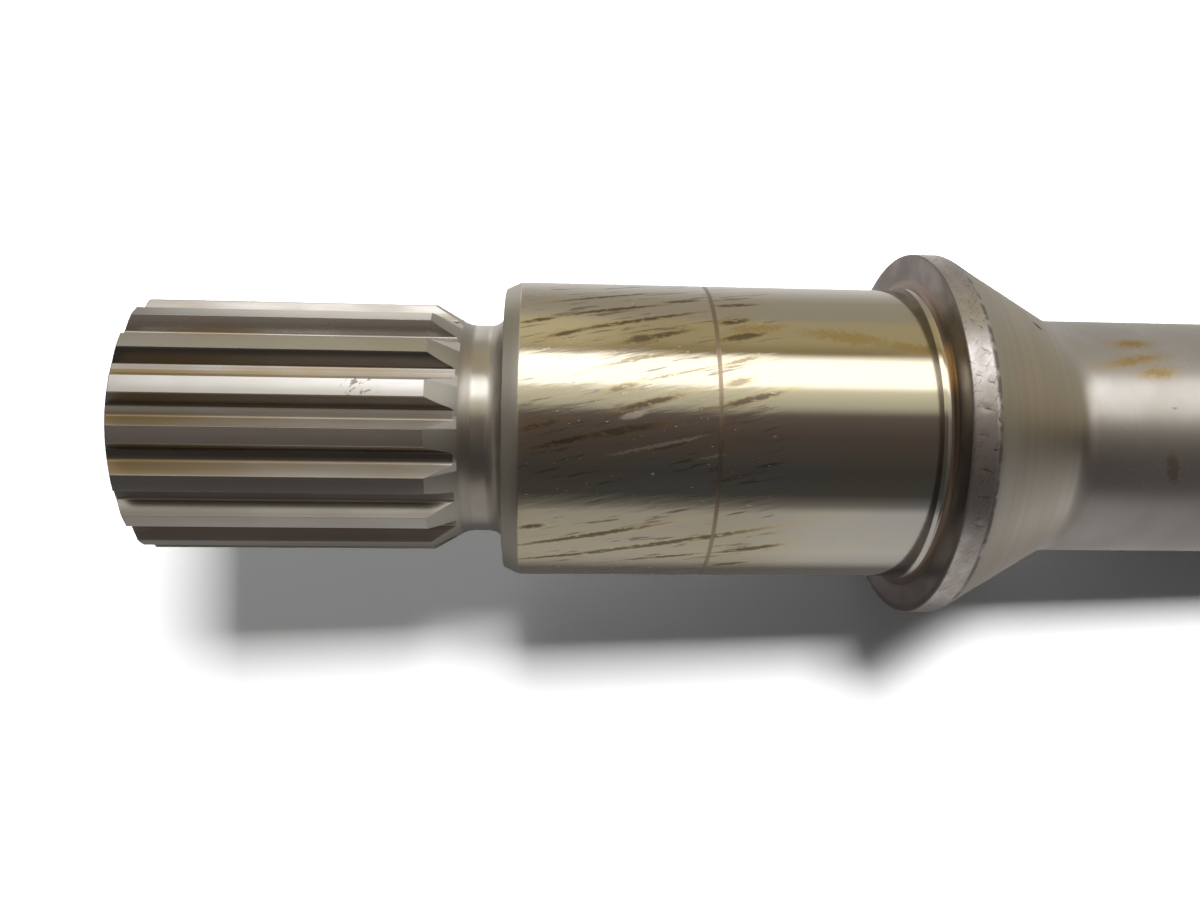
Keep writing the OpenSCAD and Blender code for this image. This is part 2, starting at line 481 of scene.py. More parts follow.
def nearestMark(look, marks, radius, ragged):
    # marks laid out flat on the wall: degrees below the camera's ridge, height, length, width, slant;
    # 0 is the middle of a mark and 1 its outline
    tree = look["tree"]
    flat = put(tree, "CombineXYZ", {0: times(look, look["down"], radius), 1: look["z"]}).outputs[0]
    stir = put(tree, "TexNoise", {"Vector": look["point"], "Scale": markEdges["waves"],
                                  "Detail": markEdges["detail"]}).outputs["Color"]
    stir = put(tree, "VectorMath", {0: stir, 1: (0.5, 0.5, 0.5)}, operation="SUBTRACT").outputs[0]
    stir = put(tree, "VectorMath", {0: stir, "Scale": ragged * 2}, operation="SCALE").outputs[0]
    flat = put(tree, "VectorMath", {0: flat, 1: stir}, operation="ADD").outputs[0]
    nearest = markEdges["farAway"]
    for down, z, length, width, slant in marks:
        near = put(tree, "Mapping", {
            "Vector": flat, "Location": (math.radians(down) * radius, z, 0),
            "Rotation": (0, 0, math.radians(slant)), "Scale": (length / 2, width / 2, 1),
        }, vector_type="TEXTURE").outputs[0]
        far = put(tree, "VectorMath", {0: near}, operation="LENGTH").outputs["Value"]
        nearest = calc(look, "MINIMUM", nearest, far)
    return nearest


def marksOn(look, marks, radius, ragged):
    return softStep(look, nearestMark(look, marks, radius, ragged), *markEdges["fade"])


# what all finishes have in common: detail of the noise, and where it turns to dull, rough or a line
steelGrain = {"detail": 3.0, "dull": (0.38, 0.62), "rough": (0.3, 0.7), "line": (0.55, 0.75)}


def startSteel(name, cfg):
    mat = bpy.data.materials.new(name)
    mat.use_nodes = True
    tree = mat.node_tree
    look = {"mat": mat, "tree": tree, "bsdf": tree.nodes["Principled BSDF"], "height": 0.0}
    look["bsdf"].inputs["Metallic"].default_value = 1.0  # the gold on the spline's upper flanks, partly oil film and partly painted tint, lowers this
    place = put(tree, "TexCoord").outputs["Object"]
    point = put(tree, "VectorMath", {0: place, "Scale": 1 / mm}, operation="SCALE").outputs[0]
    turned = {"Vector": point, "Angle": -facing}
    point = put(tree, "VectorRotate", turned, rotation_type="Z_AXIS").outputs[0]
    x, y, z = put(tree, "SeparateXYZ", {0: point}).outputs
    look["point"], look["z"] = point, z
    look["down"] = calc(look, "ARCTAN2", times(look, y, -1.0), x)
    look["r"] = calc(look, "SQRT", calc(look, "ADD", times(look, x, x), times(look, y, y)))
    # cloudy change of colour and gloss, then the lines that the tool left
    detail = steelGrain["detail"]
    cloud = grain(look, cfg["cloud"], detail)
    look["colour"] = mixIn(look, softStep(look, cloud, *steelGrain["dull"]), cfg["clean"], cfg["dull"])
    look["rough"] = softStep(look, cloud, *steelGrain["rough"], cfg["rough"])
    if cfg.get("rings"):  # concentric marks on a faced end
        sweep = put(tree, "CombineXYZ", {0: look["r"]}).outputs[0]
        sockets = {"Vector": sweep, "Scale": cfg["rings"], "Detail": detail}
        lines = put(tree, "TexNoise", sockets).outputs["Fac"]
    else:
        lines = grain(look, cfg["lines"], detail)
    lay(look, softStep(look, lines, *steelGrain["line"]), *cfg["line"])
    press(look, lines, cfg["lineDeep"])
    return look


def endSteel(look):
    tree = look["tree"]
    tree.links.new(look["colour"], look["bsdf"].inputs["Base Color"])
    tree.links.new(look["rough"], look["bsdf"].inputs["Roughness"])
    bump = put(tree, "Bump", {"Height": look["height"], "Strength": 1.0, "Distance": micron})
    tree.links.new(bump.outputs[0], look["bsdf"].inputs["Normal"])
    print("finish:", look["mat"].name, len(tree.nodes), "nodes")
    return look["mat"]


# In each finish, a coat is a colour, a roughness and a share; patches are waves along x, y and z,
# detail, where they start, where they are full, twist; spans are two ends and their softness
journalLook = {
    "clean": (0.57, 0.555, 0.53), "dull": (0.55, 0.53, 0.49), "cloud": (0.06, 0.06, 0.04),
    "rough": (0.08, 0.12), "lines": (0.0, 0.0, 6.0), "line": ((0.45, 0.41, 0.35), 0.16, 0.35), "lineDeep": 0.25,
    "filmAndPaintedTint": ((0.60, 0.54, 0.40), None, 0.8), "paintedTintSpan": (-62.0, -6.0, 0.15),
    "filmPatches": ((0.09, 0.09, 0.05), 3.0, 0.40, 0.60), "filmPatchShare": 0.6,
    "wornSpan": (98.7, 134.0, 1.5),  # scuffed stretch on both sides of the seal's track
    "wornFilm": ((0.47, 0.41, 0.30), 0.15, 0.75), "wornFilmDown": (0.35, 0.55), "wornFilmZ": (88.0, 106.0),
    "paintedSheen": ((0.92, 0.86, 0.72), 0.14, 0.75), "paintedSheenSpan": (-45, -24, 0.12), "paintedSheenZ": (114.0, 129.0),
    "waves": ((0.8, 0.8, 0.14), 4.0, 0.009), "waveDeep": 26.0,
    "swell": ((0.15, 0.15, 0.25), 1.0), "swellDeep": 6.0,
    "streak": ((0.125, 0.098, 0.072), 0.36, 0.6), "streaks": ((1.5, 1.5, 0.16), 4.0, 0.585, 0.67, 0.0103),
    "speck": ((0.68, 0.64, 0.56), 0.5, 0.8), "specks": ((2.5, 2.5, 1.1), 1.0, 0.72, 0.77, 0.0103),
    "amber": ((0.50, 0.36, 0.15), 0.2, 0.75), "amberEdge": (1.3, 0.3), "amberRagged": 1.2,
    "halo": ((0.60, 0.49, 0.29), 0.18, 0.6), "haloEdge": (2.3, 1.0),
    "scuff": ((0.125, 0.098, 0.072), 0.36, 0.85), "scuffEdge": (1.5, 0.6), "ragged": 0.3,
    "scuffBreaks": ((1.8, 1.8, 0.6), 3.0, 0.28, 0.44), "thinSpan": (-29, -13, 0.05), "thinShare": 0.55,
    "rub": ((0.68, 0.64, 0.56), 0.36, 0.8),
    "chamfer": ((0.36, 0.345, 0.31), 0.42, 0.9), "chamferSoft": 0.1,
    "track": ((0.31, 0.24, 0.17), 0.36, 0.9), "trackSoft": 0.12,
    "scuffs": [
        (-40.9, 131.8, 4.4, 0.5, -105), (-34.8, 127.9, 4.6, 0.6, -107), (-41.6, 117.9, 15.9, 0.6, -104),
        (-47.7, 121.2, 13.0, 0.6, -102), (-57.1, 122.0, 13.3, 0.5, -104), (-54.6, 111.2, 4.8, 0.7, -100),
        (-33.9, 115.6, 8.9, 0.8, -105), (-32.8, 117.6, 3.1, 1.2, -101), (-52.5, 103.4, 5.7, 0.7, -97),
        (-42.2, 104.3, 3.7, 1.0, -102), (-34.6, 103.4, 5.8, 1.0, -103), (-24.4, 117.7, 9.5, 0.4, -103),
        (-18.9, 112.7, 8.8, 0.25, -103), (-13.7, 120.2, 3.6, 0.7, -105), (-24.0, 104.1, 4.3, 0.5, -107),
        (-16.0, 104.5, 3.2, 0.8, -104), (-8.3, 116.6, 8.4, 0.8, -105), (-10.2, 102.5, 8.2, 0.8, -105),
        (-0.1, 131.3, 5.5, 0.8, -105), (5.5, 128.4, 7.1, 0.7, -103), (1.2, 120.0, 9.6, 0.9, -100),
        (38.0, 132.3, 3.1, 0.8, -99), (42.4, 124.7, 18.7, 0.7, -103), (46.2, 113.8, 25.3, 0.8, -103),
        (54.1, 127.0, 14.2, 0.6, -101), (55.4, 113.9, 10.8, 0.5, -101), (49.4, 101.7, 9.0, 0.8, -103),
        (60.8, 103.5, 4.7, 0.8, -103),
    ],
    "smears": [(-35.2, 88.5, 14.0, 2.4, -82), (-30.5, 79.5, 9.0, 2.0, -80), (-38.5, 101.0, 9.0, 1.6, -98)],
    "rubbed": [(6.5, 115.7, 17.5, 0.6, -102), (10.1, 108.1, 4.8, 0.5, -101), (-3.9, 118.8, 4.6, 1.1, -104)],
}


def journalSteel(cfg):
    look = startSteel("journalSteel", cfg)
    z, down, radius = look["z"], look["down"], size["journalR"]
    # golden film: oil in random patches all round, and over a fixed band on the side that faces the light a
    # painted tint of its reflection
    oiled = times(look, patches(look, *cfg["filmPatches"]), cfg["filmPatchShare"])
    lay(look, calc(look, "MAXIMUM", roundSpan(look, *cfg["paintedTintSpan"]), oiled), *cfg["filmAndPaintedTint"])
    worn = between(look, z, *cfg["wornSpan"])
    lower = times(look, softStep(look, down, *cfg["wornFilmDown"]), softStep(look, z, *cfg["wornFilmZ"]))
    lay(look, lower, *cfg["wornFilm"])
    # painted sheen: a bright colour that lightens the reflection on the upper side towards the spline
    paintedSheen = roundSpan(look, *cfg["paintedSheenSpan"])
    lay(look, times(look, paintedSheen, softStep(look, z, *cfg["paintedSheenZ"])), *cfg["paintedSheen"])
    # faint waves that break up the edges of the reflections
    press(look, times(look, grain(look, *cfg["waves"]), worn), cfg["waveDeep"])
    press(look, grain(look, *cfg["swell"]), cfg["swellDeep"])
    lay(look, times(look, patches(look, *cfg["streaks"]), worn), *cfg["streak"])
    lay(look, times(look, patches(look, *cfg["specks"]), worn), *cfg["speck"])
    smeared = nearestMark(look, cfg["smears"], radius, cfg["amberRagged"])
    lay(look, softStep(look, smeared, *cfg["amberEdge"]), *cfg["amber"])
    nearest = nearestMark(look, cfg["scuffs"], radius, cfg["ragged"])
    lay(look, softStep(look, nearest, *cfg["haloEdge"]), *cfg["halo"])
    scuffs = times(look, softStep(look, nearest, *cfg["scuffEdge"]), patches(look, *cfg["scuffBreaks"]))
    # the scuffs are paler in the band where the bright reflection lies: painted highlight
    thin = softStep(look, roundSpan(look, *cfg["thinSpan"]), 0.0, 1.0, (1.0, cfg["thinShare"]))
    lay(look, times(look, scuffs, thin), *cfg["scuff"])
    lay(look, marksOn(look, cfg["rubbed"], radius, cfg["ragged"]), *cfg["rub"])
    start, soft = size["faceZ"] - shaftSizes["journalChL"], cfg["chamferSoft"]
    lay(look, softStep(look, z, start - soft, start + soft), *cfg["chamfer"])
    half = shaftSizes["trackW"] / 2
    track = between(look, z, size["trackZ"] - half, size["trackZ"] + half, cfg["trackSoft"])
    lay(look, track, *cfg["track"])
    return endSteel(look)


splineLook = {
    "clean": (0.53, 0.505, 0.48), "dull": (0.45, 0.42, 0.385), "cloud": (0.16, 0.16, 0.07),
    "rough": (0.24, 0.32), "lines": (5.0, 5.0, 0.12), "line": ((0.36, 0.32, 0.28), 0.36, 0.5), "lineDeep": 0.5,
    "stain": ((0.46, 0.36, 0.23), 0.34), "stainPatches": ((0.22, 0.22, 0.08), 3.0, 0.42, 0.66),
    "deep": (1.5, 0.2), "deepShare": (0.2, 0.7),  # millimetres above the root
    "land": ((0.55, 0.535, 0.515), 0.22, 0.6), "landDepth": (0.14, 0.04),  # below the tip
    # places in a tooth are parts of the pitch from its centre line
    "soft": 0.02, "pastTip": 0.01, "pastRoot": 0.03, "overFrom": -0.48, "gapEnd": 0.6, "litGap": 0.05,
    "under": ((0.135, 0.12, 0.11), 0.36, 0.85), "underFrom": (-52, -40),
    "gold": ((0.24, 0.165, 0.07), 0.34), "goldDown": (0.7, 0.4, (0.1, 1.0)),
    "goldZ": (160.0, 188.0, (0.45, 0.95)),
    "shade": ((0.135, 0.12, 0.11), 0.36, 0.8), "shadeFrom": (-14, 4), "shadeFilm": 0.3,
    "dim": ((0.29, 0.265, 0.24), 0.34, 0.6), "dimDown": (0.4, 0.65), "filmAndPaintedTint": 0.5,
    "scuff": ((0.20, 0.15, 0.10), 0.45, 0.7), "scuffSpan": (-19.8, -11.0, 0.01), "scuffZ": (154.0, 158.0, 1.2),
    "scratches": ((1.6, 1.6, 0.9), 4.0, 0.56, 0.62, 0.03),
    "runout": ((0.43, 0.415, 0.37), 0.42), "chamfer": ((0.10, 0.10, 0.085), 0.42, 0.9),
    "coneEdge": (0.12, 0.04),
    "ripple": ((0.5, 0.5, 0.2), 2.0), "rippleDeep": 1.0,
}


def splineSteel(cfg):
    look = startSteel("splineSteel", cfg)
    z, r, down, soft = look["z"], look["r"], look["down"], cfg["soft"]
    deep = softStep(look, r, *[size["rootR"] + d for d in cfg["deep"]])
    deep = softStep(look, deep, 0.0, 1.0, cfg["deepShare"])
    lay(look, times(look, patches(look, *cfg["stainPatches"]), deep), *cfg["stain"])
    lay(look, softStep(look, r, *[size["tipR"] - d for d in cfg["landDepth"]]), *cfg["land"])
    # place within one tooth and half a gap on each side, from -0.5 to 0.5; 20 teeth more keep it above 0
    pitch = 360.0 / shaftSizes["teeth"]
    turn = calc(look, "DIVIDE", calc(look, "ADD", down, -facing), math.radians(pitch))
    inTooth = calc(look, "SUBTRACT", calc(look, "FRACT", calc(look, "ADD", turn, 20.5)), 0.5)
    root, tip = flankAngle(size["rootR"]) / pitch, flankAngle(size["tipR"]) / pitch
    # lower flanks, painted dark as shade where the camera sees them
    under = between(look, inTooth, tip + cfg["pastTip"], root + cfg["pastRoot"], soft)
    seen = softStep(look, down, *map(math.radians, cfg["underFrom"]))
    lay(look, times(look, under, seen), *cfg["under"])
    # upper flanks turn gold and lose some metal: partly a film of oil, partly a painted tint of the light they
    # face; less of it low down and away from the end
    over = between(look, inTooth, cfg["overFrom"], -tip - cfg["pastTip"], soft)
    lit = times(look, over, softStep(look, down, *cfg["goldDown"]))
    lay(look, times(look, lit, softStep(look, z, *cfg["goldZ"])), *cfg["gold"])
    # low down the gaps lie in shade and the upper flanks are dim
    gap = calc(look, "MAXIMUM", between(look, inTooth, root, cfg["gapEnd"], soft),
               between(look, inTooth, -cfg["gapEnd"], -root - cfg["litGap"], soft))
    shaded = times(look, gap, softStep(look, down, *map(math.radians, cfg["shadeFrom"])))
    lay(look, shaded, *cfg["shade"])
    lit = times(look, lit, softStep(look, shaded, 0.0, 1.0, (1.0, cfg["shadeFilm"])))
    lay(look, times(look, over, softStep(look, down, *cfg["dimDown"])), *cfg["dim"])
    bare = calc(look, "SUBTRACT", 1.0, times(look, lit, cfg["filmAndPaintedTint"]))
    look["tree"].links.new(bare, look["bsdf"].inputs["Metallic"])
    part = times(look, roundSpan(look, *cfg["scuffSpan"]), between(look, z, *cfg["scuffZ"]))
    lay(look, times(look, part, patches(look, *cfg["scratches"])), *cfg["scuff"])
    # run-out and end chamfer are turned, not hobbed: on such a cone the height follows from the radius
    far, near = cfg["coneEdge"]
    slope = 1 / tanD(shaftSizes["runoutA"])
    cone = calc(look, "SUBTRACT", z, times(look, r, slope))
    coneAt = size["runoutZ"] - size["reliefR"] * slope
    lay(look, softStep(look, cone, coneAt + far, coneAt + near), *cfg["runout"])
    # the end chamfer is painted near black: painted shade
    slope = shaftSizes["endChL"] / (size["tipR"] - size["endR"])
    cone = calc(look, "ADD", z, times(look, r, slope))
    coneAt = size["endZ"] + size["endR"] * slope
    lay(look, softStep(look, cone, coneAt - far, coneAt - near), *cfg["chamfer"])
    press(look, grain(look, *cfg["ripple"]), cfg["rippleDeep"])
    return endSteel(look)


endFaceLook = {
    "clean": (0.52, 0.49, 0.45), "dull": (0.44, 0.40, 0.35), "cloud": (0.12, 0.12, 0.12),
    "rough": (0.28, 0.38), "rings": 4.0, "line": ((0.40, 0.36, 0.31), 0.36, 0.5), "lineDeep": 3.0,
}


def endFaceSteel(cfg):
    return endSteel(startSteel("endFaceSteel", cfg))


# collar's face: its dark clean and dull colours are painted shade
shoulderLook = {
    "clean": (0.20, 0.172, 0.16), "dull": (0.145, 0.124, 0.112), "cloud": (0.15, 0.15, 0.15),
    "rough": (0.28, 0.36), "rings": 5.0, "line": ((0.28, 0.25, 0.23), 0.32, 0.4), "lineDeep": 1.0,
    "stain": ((0.21, 0.155, 0.12), 0.26), "stainEdge": (0.3, -0.4),
    "glint": ((0.60, 0.36, 0.16), 0.2, 0.9), "glintSpan": (-30, -15, 0.08),
}


def shoulderSteel(cfg):
    look = startSteel("shoulderSteel", cfg)
    edge = size["journalR"] + shaftSizes["shoulderR"]  # oil has browned the fillet
    stained = softStep(look, look["r"], *[edge + d for d in cfg["stainEdge"]])
    lay(look, stained, *cfg["stain"])
    lay(look, times(look, roundSpan(look, *cfg["glintSpan"]), stained), *cfg["glint"])
    return endSteel(look)


grooveLook = {
    "clean": (0.56, 0.54, 0.50), "dull": (0.50, 0.46, 0.40), "cloud": (0.10, 0.10, 0.15),
    "rough": (0.18, 0.25), "lines": (0.0, 0.0, 5.0), "line": ((0.42, 0.38, 0.33), 0.28, 0.4), "lineDeep": 0.8,
    "face": ((0.40, 0.37, 0.33), 0.38, 0.9), "faceReach": 0.9, "faceSoft": 0.35,
    "low": ((0.27, 0.25, 0.22), 0.3, 0.5), "lowDown": (0.3, 0.8),
}


def grooveSteel(cfg):
    look = startSteel("grooveSteel", cfg)
    bottom = size["faceZ"] + shaftSizes["reliefFaceR"] * cfg["faceReach"]
    top = size["runoutZ"] - shaftSizes["reliefRunR"] * tanD(shaftSizes["runoutA"] / 2)
    floor = between(look, look["z"], bottom, top, cfg["faceSoft"])
    lay(look, calc(look, "SUBTRACT", 1.0, floor), *cfg["face"])
    # the lower side of the groove is darker: painted shade
    lay(look, softStep(look, look["down"], *cfg["lowDown"]), *cfg["low"])
    return endSteel(look)


rimLook = {
    "clean": (0.56, 0.53, 0.51), "dull": (0.48, 0.44, 0.42), "cloud": (0.30, 0.30, 0.50),
    "rough": (0.26, 0.36), "lines": (3.2, 3.2, 0.7), "line": ((0.36, 0.32, 0.30), 0.40, 0.6), "lineDeep": 1.5,
    "bruise": ((0.13, 0.11, 0.10), 0.42, 0.8), "bruiseLonger": 1.1, "bruiseWide": 0.24, "ragged": 0.35,
    "bruiseBreaks": ((1.5, 1.5, 1.5), 3.0, 0.32, 0.56),
    "stroke": ((0.13, 0.11, 0.10), 0.42, 0.4), "strokes": ((2.6, 2.6, 1.0), 3.0, 0.58, 0.66, 0.05),
    "back": ((0.13, 0.11, 0.10), 0.45, 0.7), "backEdge": (0.35, 0.05),
    "backPatches": ((0.6, 0.6, 0.6), 3.0, 0.36, 0.56),
    "front": ((0.13, 0.11, 0.10), 0.45, 0.75), "frontEdge": (-0.3, -0.1),
}


def rimSteel(cfg):
    look = startSteel("rimSteel", cfg)
    bruises = [(at, z, length * cfg["bruiseLonger"], cfg["bruiseWide"], slant)
               for at, z, length, _, slant, _ in knocks]
    bruised = marksOn(look, bruises, size["collarR"], cfg["ragged"])
    lay(look, times(look, bruised, patches(look, *cfg["bruiseBreaks"])), *cfg["bruise"])
    lay(look, patches(look, *cfg["strokes"]), *cfg["stroke"])
    # dirt in patches on the back edge; the front edge darker all round
    back = softStep(look, look["z"], *[size["collarZ"] + d for d in cfg["backEdge"]])
    lay(look, times(look, back, patches(look, *cfg["backPatches"])), *cfg["back"])
    front = softStep(look, look["z"], *[size["shoulderZ"] + d for d in cfg["frontEdge"]])
    lay(look, front, *cfg["front"])
    return endSteel(look)


neckLook = {
    "clean": (0.54, 0.525, 0.505), "dull": (0.49, 0.465, 0.435), "cloud": (0.07, 0.07, 0.10),
    "rough": (0.25, 0.30), "lines": (0.0, 0.0, 4.0), "line": ((0.42, 0.39, 0.35), 0.34, 0.35), "lineDeep": 0.15,
    "cone": ((0.47, 0.415, 0.33), 0.33, 0.8), "coneZ": (50.5, 60.0),
    "taper": ((0.45, 0.42, 0.36), 0.38, 0.8), "taperSoft": 0.3,
    "ridges": ((0.0, 0.0, 5.0), 2.0), "ridgeDeep": 2.5,
    "ring": ((0.36, 0.31, 0.235), 0.36, 0.22), "uneven": ((0.012, 0.012, 0.9), 3.0, 0.42, 0.62),
    "halo": ((0.50, 0.40, 0.24), 0.36, 0.6), "haloEdge": (2.0, 0.6),
    "rust": ((0.42, 0.28, 0.10), 0.45, 0.8), "rustEdge": (1.2, 0.3), "rustRagged": 0.8,
    "rustBreaks": ((1.0, 1.0, 0.7), 3.0, 0.22, 0.46),
    "smudge": ((0.26, 0.19, 0.13), 0.42, 0.6), "smudgeRagged": 0.6,
    "nick": ((0.05, 0.042, 0.036), 0.5, 0.9), "nickRagged": 0.3,
    "rustMarks": [(-47.8, 43.6, 6.1, 2.0, -96), (-36.4, 44.7, 9.6, 1.8, -103), (-29.5, 41.9, 5.7, 2.0, -97)],
    "smudges": [(15.3, 40.6, 5.6, 2.0, -15), (-12.1, 40.6, 0.9, 0.5, -91)],
    "nicks": [(-46.5, 59.4, 1.9, 0.9, -60)],
}


def neckSteel(cfg):
    look = startSteel("neckSteel", cfg)
    z, radius = look["z"], size["neckR"]
    cone = softStep(look, z, *cfg["coneZ"])
    lay(look, cone, *cfg["cone"])
    soft = cfg["taperSoft"]
    lay(look, softStep(look, z, size["taperZ"] - soft, size["taperZ"] + soft), *cfg["taper"])
    # uneven turning of the cone
    press(look, times(look, grain(look, *cfg["ridges"]), cone), cfg["ridgeDeep"])
    lay(look, times(look, patches(look, *cfg["uneven"]), cone), *cfg["ring"])
    nearest = nearestMark(look, cfg["rustMarks"], radius, cfg["rustRagged"])
    lay(look, softStep(look, nearest, *cfg["haloEdge"]), *cfg["halo"])
    rusted = softStep(look, nearest, *cfg["rustEdge"])
    lay(look, times(look, rusted, patches(look, *cfg["rustBreaks"])), *cfg["rust"])
    lay(look, marksOn(look, cfg["smudges"], radius, cfg["smudgeRagged"]), *cfg["smudge"])
    lay(look, marksOn(look, cfg["nicks"], radius, cfg["nickRagged"]), *cfg["nick"])
    return endSteel(look)


made = {
    "endFace": endFaceSteel(endFaceLook), "spline": splineSteel(splineLook),
    "groove": grooveSteel(grooveLook), "journal": journalSteel(journalLook),
    "shoulder": shoulderSteel(shoulderLook), "rim": rimSteel(rimLook), "neck": neckSteel(neckLook),
}
for finish in finishes:
    shaftBody.data.materials.append(made[finish])
print("finishes set")


# Studio: white backdrop behind the shaft, floor under it, lamps, reflection tent; in millimetres
studio = {
    "backdropSize": 900.0, "floorSize": 900.0, "sheetGap": 0.3, "floorDrop": 0.05,
    "paper": 0.85, "backdropInView": 1.5, "floorInView": 1.3,
    "room": (0.055, 0.054, 0.053), "white": (1.0, 1.0, 1.0),
    "tentR": 260.0, "tentL": 2000.0, "tentSides": 180, "tentStrength": 2.4, "tentEnd": (0.12, 0.11, 0.10),
    "reach": {  # heights between which the tent's next set of bands takes over
        "lead": (145.0, 172.0), "spline": (200.0, 340.0), "tip": (340.0, 480.0),
        "neck": (-20.0, -110.0), "back": (-160.0, -450.0),
    },
    "dark": (650.0, 900.0),
    "lampAim": 0.5,  # share of the shaft's height
    # place by angle round the axis, distance and height, then size and power
    "lamps": {
        "sideLamp": {"angle": -27.5, "far": 600.0, "z": 92.0, "wide": 125.0, "long": 190.0, "power": 3.8},
        "underLamp": {"angle": -79.0, "far": 300.0, "z": 140.0, "wide": 120.0, "long": 120.0, "power": 0.39},
        "topLamp": {"angle": 180.0, "far": 300.0, "z": 900.0, "wide": 500.0, "long": 500.0, "power": 9.0},
    },
}
# tent colours by the angle from the camera's side round the axis, plus is down in the
# photo; each set is reached at its height in millimetres, the first one beside the journal
tentBands = {
    "start": [
        (-180, (0.6, 0.57, 0.55)), (-170, (0.70, 0.665, 0.645)), (-140, (0.70, 0.665, 0.645)),
        (-115, (0.42, 0.395, 0.36)), (-92, (0.42, 0.39, 0.34)), (-88, (0.50, 0.44, 0.31)),
        (-68, (0.50, 0.435, 0.28)), (-58, (0.31, 0.24, 0.125)), (-52, (2.2, 2.2, 2.2)),
        (-33, (2.2, 2.2, 2.2)), (-29, (0.95, 0.92, 0.78)), (-17, (0.62, 0.59, 0.48)),
        (-11, (0.16, 0.12, 0.105)), (5, (0.10, 0.077, 0.068)), (30, (0.06, 0.057, 0.053)),
        (48, (0.07, 0.067, 0.062)), (57, (0.20, 0.19, 0.18)), (63, (0.52, 0.51, 0.49)),
        (105, (0.60, 0.585, 0.56)), (118, (0.50, 0.485, 0.465)), (132, (0.16, 0.15, 0.145)),
        (165, (0.11, 0.105, 0.10)), (178, (0.16, 0.15, 0.145)),
    ],
    "lead": [
        (-180, (1.0, 0.95, 0.92)), (-140, (1.0, 0.95, 0.92)), (-122, (1.2, 1.17, 1.1)),
        (-113, (1.1, 1.06, 0.98)), (-104, (0.5, 0.46, 0.36)), (-66, (0.56, 0.50, 0.36)),
        (-54, (0.46, 0.39, 0.26)), (-49, (2.2, 2.2, 2.2)), (-33, (2.2, 2.2, 2.2)),
        (-29, (0.95, 0.92, 0.78)), (-17, (0.62, 0.59, 0.48)), (-9, (0.28, 0.235, 0.20)),
        (7, (0.19, 0.16, 0.14)), (24, (0.095, 0.09, 0.083)), (62, (0.075, 0.07, 0.064)),
        (68, (0.16, 0.15, 0.14)), (74, (0.38, 0.365, 0.34)), (105, (0.44, 0.425, 0.40)),
        (118, (0.40, 0.385, 0.36)), (132, (0.16, 0.15, 0.145)), (165, (0.12, 0.115, 0.11)),
        (176, (1.0, 0.95, 0.92)),
    ],
    "spline": [
        (-180, (0.30, 0.285, 0.26)), (-140, (0.14, 0.13, 0.11)), (-108, (0.16, 0.15, 0.13)),
        (-96, (0.40, 0.375, 0.33)), (-68, (0.50, 0.47, 0.41)), (-57, (0.9, 0.88, 0.84)),
        (-33, (0.9, 0.88, 0.84)), (-17, (0.40, 0.36, 0.29)), (-9, (0.17, 0.14, 0.12)),
        (12, (0.15, 0.13, 0.115)), (40, (0.09, 0.085, 0.078)), (63, (0.08, 0.076, 0.07)),
        (76, (0.34, 0.325, 0.30)), (118, (0.38, 0.365, 0.34)), (132, (0.16, 0.15, 0.14)),
        (176, (0.44, 0.42, 0.39)),
    ],
    "tip": [
        (-180, (0.40, 0.38, 0.35)), (-60, (0.38, 0.36, 0.325)), (-48, (0.40, 0.375, 0.335)),
        (-30, (0.37, 0.345, 0.31)), (-14, (0.31, 0.29, 0.265)), (2, (0.30, 0.28, 0.26)),
        (60, (0.26, 0.25, 0.23)), (100, (0.38, 0.36, 0.33)), (150, (0.30, 0.29, 0.27)),
    ],
    "neck": [
        (-180, (0.50, 0.48, 0.45)), (-92, (0.52, 0.495, 0.45)), (-60, (0.58, 0.54, 0.48)),
        (-52, (1.4, 1.36, 1.3)), (-22, (1.35, 1.3, 1.22)), (-14, (0.60, 0.56, 0.50)),
        (-4, (0.29, 0.265, 0.235)), (8, (0.19, 0.17, 0.15)), (25, (0.11, 0.10, 0.092)),
        (52, (0.10, 0.093, 0.088)), (62, (0.20, 0.19, 0.18)), (76, (0.29, 0.275, 0.265)),
        (110, (0.34, 0.325, 0.315)), (150, (0.36, 0.345, 0.335)),
    ],
    "back": [
        (-180, (0.50, 0.48, 0.44)), (-95, (0.43, 0.40, 0.32)), (-60, (0.42, 0.38, 0.28)),
        (-35, (0.36, 0.31, 0.215)), (-16, (0.15, 0.124, 0.086)), (2, (0.05, 0.043, 0.034)),
        (30, (0.07, 0.063, 0.055)), (62, (0.165, 0.159, 0.153)), (95, (0.38, 0.374, 0.368)),
        (125, (0.85, 0.84, 0.83)), (160, (0.85, 0.84, 0.83)),
    ],
}


def roundAxis(angle, radius, z=0.0):
    a = facing - math.radians(angle)
    return Vector((radius * math.cos(a), radius * math.sin(a), z)) * mm


def keepFrom(obj, *rays):
    for ray in rays:
        setattr(obj, "visible_" + ray, False)


def paperFinish(name, inViewWhite):
    # white paper, seen from its front only; brighter to the camera than to the shaft
    mat = bpy.data.materials.new(name)
    mat.use_nodes = True
    tree = mat.node_tree
    tree.nodes.clear()
    paper = put(tree, "BsdfDiffuse", {"Color": (*[studio["paper"]] * 3, 1)}).outputs[0]
    inView = put(tree, "BsdfDiffuse", {"Color": (*[inViewWhite] * 3, 1)}).outputs[0]
    clear = put(tree, "BsdfTransparent").outputs[0]
    ray = put(tree, "LightPath").outputs["Is Camera Ray"]
    side = put(tree, "NewGeometry").outputs["Backfacing"]
    front = put(tree, "MixShader", {0: ray, 1: paper, 2: inView}).outputs[0]
    both = put(tree, "MixShader", {0: side, 1: front, 2: clear}).outputs[0]
    put(tree, "OutputMaterial", {"Surface": both})
    return mat


